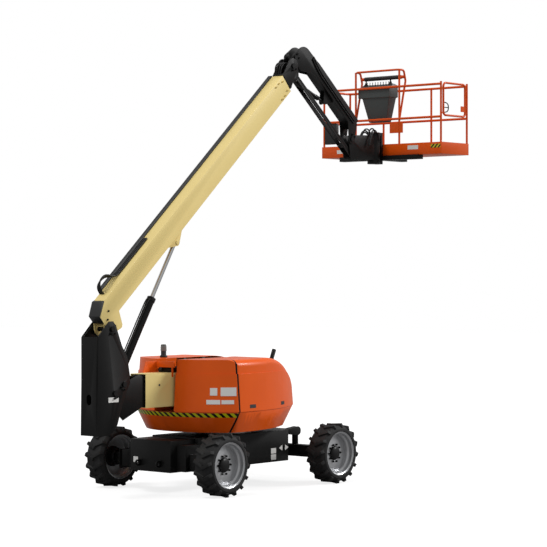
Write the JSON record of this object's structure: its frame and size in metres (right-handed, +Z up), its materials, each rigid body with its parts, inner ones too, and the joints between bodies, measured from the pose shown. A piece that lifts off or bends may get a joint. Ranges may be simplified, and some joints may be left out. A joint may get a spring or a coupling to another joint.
{
  "type": "articulating boom lift",
  "caption": "Wheeled boom lift with a telescoping tower boom, a levelled upright, a telescoping main boom, a jib and a railed work platform.",
  "frame": {"origin": "on the floor, under the middle of the machine's overall length and on its middle plane", "axes": "+X is the way the boom reaches, +Z is up, and the middle plane is Y = 0"},
  "size_m": [7.365, 2.4888, 6.636],
  "materials": {
    "tyre_rubber": "matt",
    "rim_silver": "satin",
    "black_paint": "satin",
    "cream_paint": "gloss",
    "orange_paint": "gloss",
    "chrome_rod": "polished",
    "nylon": "matt",
    "dark_plastic": "matt",
    "bare_steel": "machined"
  },
  "bodies": {
    "chassis": {"chassis_frame": "black_paint", "fixed_axle": "black_paint", "steer_axle": "black_paint", "lockout_cylinders": "black_paint", "slew_ring": "bare_steel", "tie_down_eyes": "black_paint"},
    "steer_near": {"steer_knuckle_near": "black_paint"},
    "steer_far": {"steer_knuckle_far": "black_paint"},
    "tie_rod": {"tie_rod": "black_paint"},
    "turntable": {"turntable_deck": "orange_paint", "turntable_skirt": "orange_paint", "corner_cover_near": "orange_paint", "corner_cover_far": "orange_paint", "counterweight": "black_paint", "engine_block": "black_paint", "exhaust_stack": "black_paint", "beacon": "dark_plastic", "ground_control_box": "dark_plastic"},
    "hood_near": {"hood_door_near": "orange_paint"},
    "hood_far": {"hood_door_far": "orange_paint"},
    "tower_base": {"tower_base_boom": "cream_paint", "tower_wear_pads": "nylon"},
    "tower_fly": {"tower_fly_boom": "cream_paint"},
    "tower_cylinder_barrel": {"tower_lift_barrel": "black_paint"},
    "tower_cylinder_rod": {"tower_lift_rod": "chrome_rod"},
    "upright": {"upright": "black_paint"},
    "main_boom": {"main_boom": "cream_paint", "boom_end_cover": "dark_plastic", "cable_track": "dark_plastic", "boom_wear_pads": "nylon"},
    "fly_boom": {"fly_boom": "cream_paint", "fly_nose": "black_paint"},
    "main_cylinder_barrel": {"main_lift_barrel": "black_paint"},
    "main_cylinder_rod": {"main_lift_rod": "chrome_rod"},
    "knuckle": {"knuckle": "black_paint"},
    "jib": {"jib_boom": "black_paint"},
    "jib_link": {"jib_link": "black_paint"},
    "jib_cylinder_barrel": {"jib_lift_barrel": "black_paint"},
    "jib_cylinder_rod": {"jib_lift_rod": "chrome_rod"},
    "rotator_head": {"rotator_head": "black_paint"},
    "platform": {"platform_support": "black_paint", "platform_floor": "orange_paint", "platform_rails": "orange_paint", "console": "dark_plastic", "manual_box": "black_paint"},
    "gate": {"platform_gate": "orange_paint"},
    "wheel_front_near": {"tyre_front_near": "tyre_rubber", "rim_front_near": "rim_silver", "hub_front_near": "black_paint"},
    "wheel_front_far": {"tyre_front_far": "tyre_rubber", "rim_front_far": "rim_silver", "hub_front_far": "black_paint"},
    "wheel_rear_near": {"tyre_rear_near": "tyre_rubber", "rim_rear_near": "rim_silver", "hub_rear_near": "black_paint"},
    "wheel_rear_far": {"tyre_rear_far": "tyre_rubber", "rim_rear_far": "rim_silver", "hub_rear_far": "black_paint"}
  },
  "joints": [
    {"name": "wheel_front_near_spin", "type": "hinge", "parent": "steer_near", "child": "wheel_front_near", "pos_m": [0.3525, -1.0725, 0.4475], "axis": [0, 1, 0], "continuous": true},
    {"name": "wheel_front_far_spin", "type": "hinge", "parent": "steer_far", "child": "wheel_front_far", "pos_m": [0.3525, 1.0725, 0.4475], "axis": [0, 1, 0], "continuous": true},
    {"name": "wheel_rear_near_spin", "type": "hinge", "parent": "chassis", "child": "wheel_rear_near", "pos_m": [-2.1275, -1.0725, 0.4475], "axis": [0, 1, 0], "continuous": true},
    {"name": "wheel_rear_far_spin", "type": "hinge", "parent": "chassis", "child": "wheel_rear_far", "pos_m": [-2.1275, 1.0725, 0.4475], "axis": [0, 1, 0], "continuous": true},
    {"name": "steering_near", "type": "hinge", "parent": "chassis", "child": "steer_near", "pos_m": [0.3525, -0.83, 0.4475], "axis": [0, 0, 1], "range_deg": [-35, 35]},
    {"name": "steering_far", "type": "hinge", "parent": "chassis", "child": "steer_far", "pos_m": [0.3525, 0.83, 0.4475], "axis": [0, 0, 1], "range_deg": [-35, 35]},
    {"name": "tie_rod_level", "type": "hinge", "parent": "steer_near", "child": "tie_rod", "pos_m": [0.1875, -0.83, 0.392], "axis": [0, 0, 1], "range_deg": [-35, 35]},
    {"name": "turntable_slew", "type": "hinge", "parent": "chassis", "child": "turntable", "pos_m": [-0.8875, 0, 0.82], "axis": [0, 0, 1], "range_deg": [-180, 180]},
    {"name": "hood_near_open", "type": "hinge", "parent": "turntable", "child": "hood_near", "pos_m": [-0.8875, -0.212, 1.89], "axis": [-1, 0, 0], "range_deg": [0, 70]},
    {"name": "hood_far_open", "type": "hinge", "parent": "turntable", "child": "hood_far", "pos_m": [-0.8875, 0.212, 1.89], "axis": [1, 0, 0], "range_deg": [0, 70]},
    {"name": "tower_raise", "type": "hinge", "parent": "turntable", "child": "tower_base", "pos_m": [-0.0875, 0, 1.475], "axis": [0, 1, 0], "range_deg": [0, 72]},
    {"name": "tower_extend", "type": "slide", "parent": "tower_base", "child": "tower_fly", "axis": [-1, 0, 0], "range_m": [0, 1.9]},
    {"name": "upright_level", "type": "hinge", "parent": "tower_fly", "child": "upright", "pos_m": [-3.3375, 0, 1.475], "axis": [0, 1, 0], "range_deg": [-72, 0]},
    {"name": "tower_cylinder_swing", "type": "hinge", "parent": "turntable", "child": "tower_cylinder_barrel", "pos_m": [-1.8375, 0, 1.02], "axis": [0, -1, 0], "range_deg": [0, 35.19]},
    {"name": "tower_cylinder_stroke", "type": "slide", "parent": "tower_cylinder_barrel", "child": "tower_cylinder_rod", "axis": [0.9912, 0, 0.1322], "range_m": [0, 0.4041]},
    {"name": "main_boom_raise", "type": "hinge", "parent": "upright", "child": "main_boom", "pos_m": [-3.3875, 0, 2.37], "axis": [0, -1, 0], "range_deg": [-47.5, 33.5]},
    {"name": "main_boom_extend", "type": "slide", "parent": "main_boom", "child": "fly_boom", "axis": [0.749, 0, 0.6626], "range_m": [0, 3.66]},
    {"name": "main_cylinder_swing", "type": "hinge", "parent": "upright", "child": "main_cylinder_barrel", "pos_m": [-3.1555, 0, 1.59], "axis": [0, -1, 0], "range_deg": [-35.44, 24.99]},
    {"name": "main_cylinder_stroke", "type": "slide", "parent": "main_cylinder_barrel", "child": "main_cylinder_rod", "axis": [0.5175, 0, 0.8557], "range_m": [-0.7685, 0.542]},
    {"name": "knuckle_level", "type": "hinge", "parent": "fly_boom", "child": "knuckle", "pos_m": [0.59461, 0, 6.32034], "axis": [0, -1, 0], "range_deg": [-33.5, 47.5]},
    {"name": "jib_raise", "type": "hinge", "parent": "knuckle", "child": "jib", "pos_m": [0.6725, 0, 6.45], "axis": [0, -1, 0], "range_deg": [-20, 110]},
    {"name": "jib_link_swing", "type": "hinge", "parent": "knuckle", "child": "jib_link", "pos_m": [0.7125, 0, 6.19], "axis": [0, -1, 0], "range_deg": [-20, 110]},
    {"name": "jib_cylinder_swing", "type": "hinge", "parent": "knuckle", "child": "jib_cylinder_barrel", "pos_m": [0.6745, 0, 6.125], "axis": [0, -1, 0], "range_deg": [-18.28, 100.5]},
    {"name": "jib_cylinder_stroke", "type": "slide", "parent": "jib_cylinder_barrel", "child": "jib_cylinder_rod", "axis": [0.93, 0, -0.3674], "range_m": [-0.0927, 0.509]},
    {"name": "head_level", "type": "hinge", "parent": "jib", "child": "rotator_head", "pos_m": [2.07227, 0, 5.26501], "axis": [0, -1, 0], "range_deg": [-110, 20]},
    {"name": "platform_rotate", "type": "hinge", "parent": "rotator_head", "child": "platform", "pos_m": [2.7525, 0, 5.15], "axis": [0, 0, 1], "range_deg": [-90, 90]},
    {"name": "gate_open", "type": "hinge", "parent": "platform", "child": "gate", "pos_m": [3.0115, -1.201, 5.88], "axis": [0, 0, 1], "range_deg": [0, 90]}
  ],
  "couplings": [
    {"joint": "steering_far", "follows": "steering_near", "ratio": 1},
    {"joint": "tie_rod_level", "follows": "steering_near", "ratio": -1},
    {"joint": "upright_level", "follows": "tower_raise", "ratio": -1},
    {"joint": "tower_cylinder_swing", "follows": "tower_raise", "ratio": 0.4886},
    {"joint": "tower_cylinder_stroke", "follows": "tower_raise", "m_per_rad": 0.3214},
    {"joint": "main_cylinder_swing", "follows": "main_boom_raise", "ratio": 0.7458},
    {"joint": "main_cylinder_stroke", "follows": "main_boom_raise", "m_per_rad": 0.9267},
    {"joint": "knuckle_level", "follows": "main_boom_raise", "ratio": -1},
    {"joint": "jib_link_swing", "follows": "jib_raise", "ratio": 1},
    {"joint": "jib_cylinder_swing", "follows": "jib_raise", "ratio": 0.9135},
    {"joint": "jib_cylinder_stroke", "follows": "jib_raise", "m_per_rad": 0.265},
    {"joint": "head_level", "follows": "jib_raise", "ratio": -1}
  ]
}
